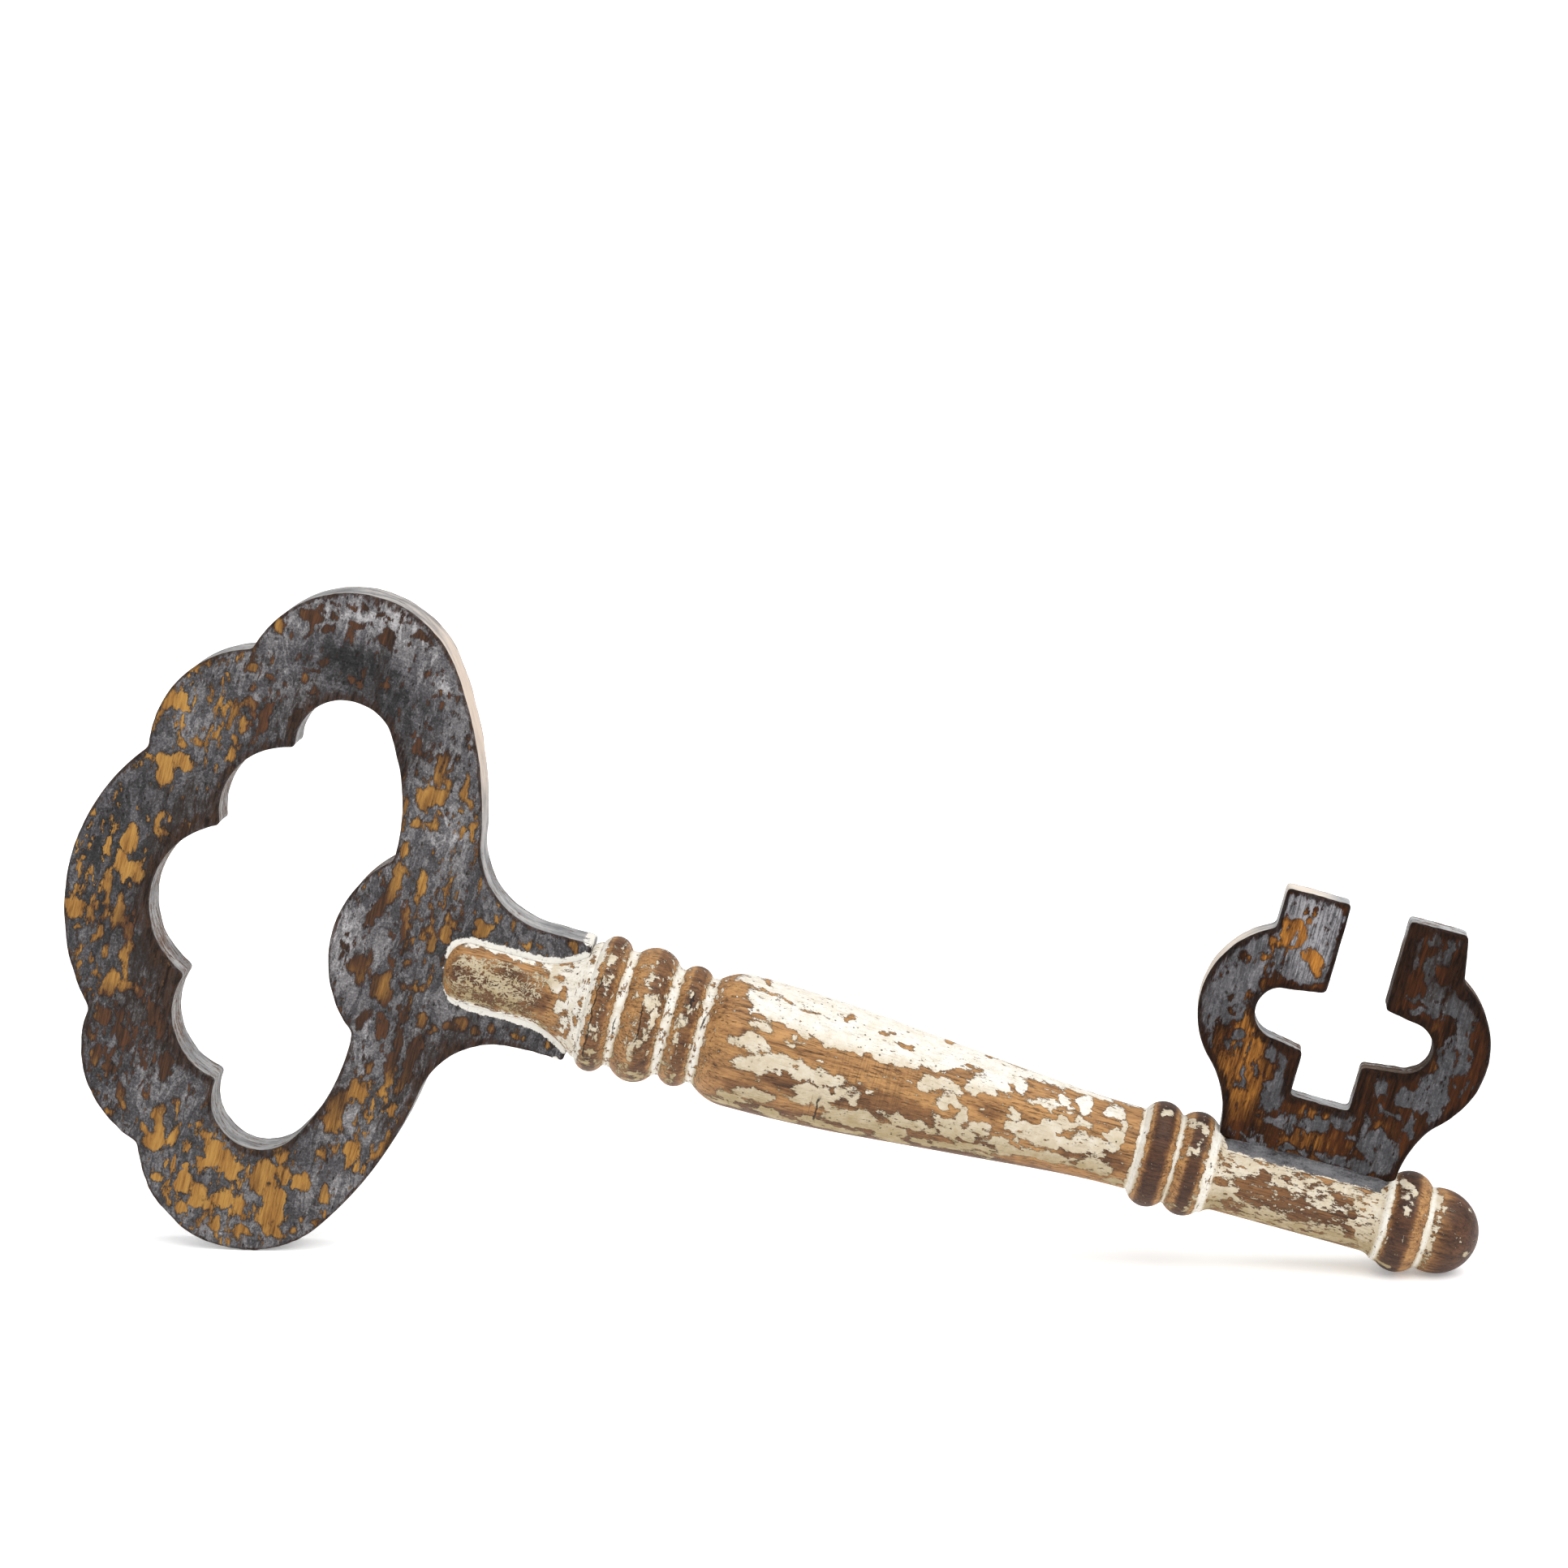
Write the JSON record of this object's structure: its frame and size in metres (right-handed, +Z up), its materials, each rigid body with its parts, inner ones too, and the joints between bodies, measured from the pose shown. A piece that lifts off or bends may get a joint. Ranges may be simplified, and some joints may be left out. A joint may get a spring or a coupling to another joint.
{
  "type": "decorative key",
  "caption": "Wooden skeleton key: a scalloped open bow, a turned and beaded shank, and a flat bit with a cross-shaped cut-out, for hanging on a wall or standing on a shelf.",
  "frame": {"origin": "the middle of the bounding box, on the floor that the bow's lower lobe and the ball stand on", "axes": "+X from the bow towards the ball along the floor, +Y through the boards from the front face to the back face, +Z up; the shank leans down towards +X by about 14.5 degrees, as it stands in the picture"},
  "size_m": [0.5076, 0.0498, 0.2407],
  "materials": {
    "grey_painted_plywood": "matt slate-grey chalk paint, chipped through to golden stained plywood",
    "whitewashed_turned_wood": "flaking white wash over tan and scorched turned wood",
    "stained_plywood": "dark red-brown stain with patches of grey chalk paint",
    "white_filler": "dried acrylic wood filler, matt white",
    "grey_filler": "dried acrylic wood filler, painted matt grey"
  },
  "bodies": {
    "root": {"bow_board": "grey_painted_plywood", "turned_shank": "whitewashed_turned_wood", "bit_board": "stained_plywood", "tail_filler_front": "white_filler", "tail_filler_back": "white_filler", "bit_filler_front": "grey_filler", "bit_filler_back": "grey_filler"}
  },
  "joints": []
}
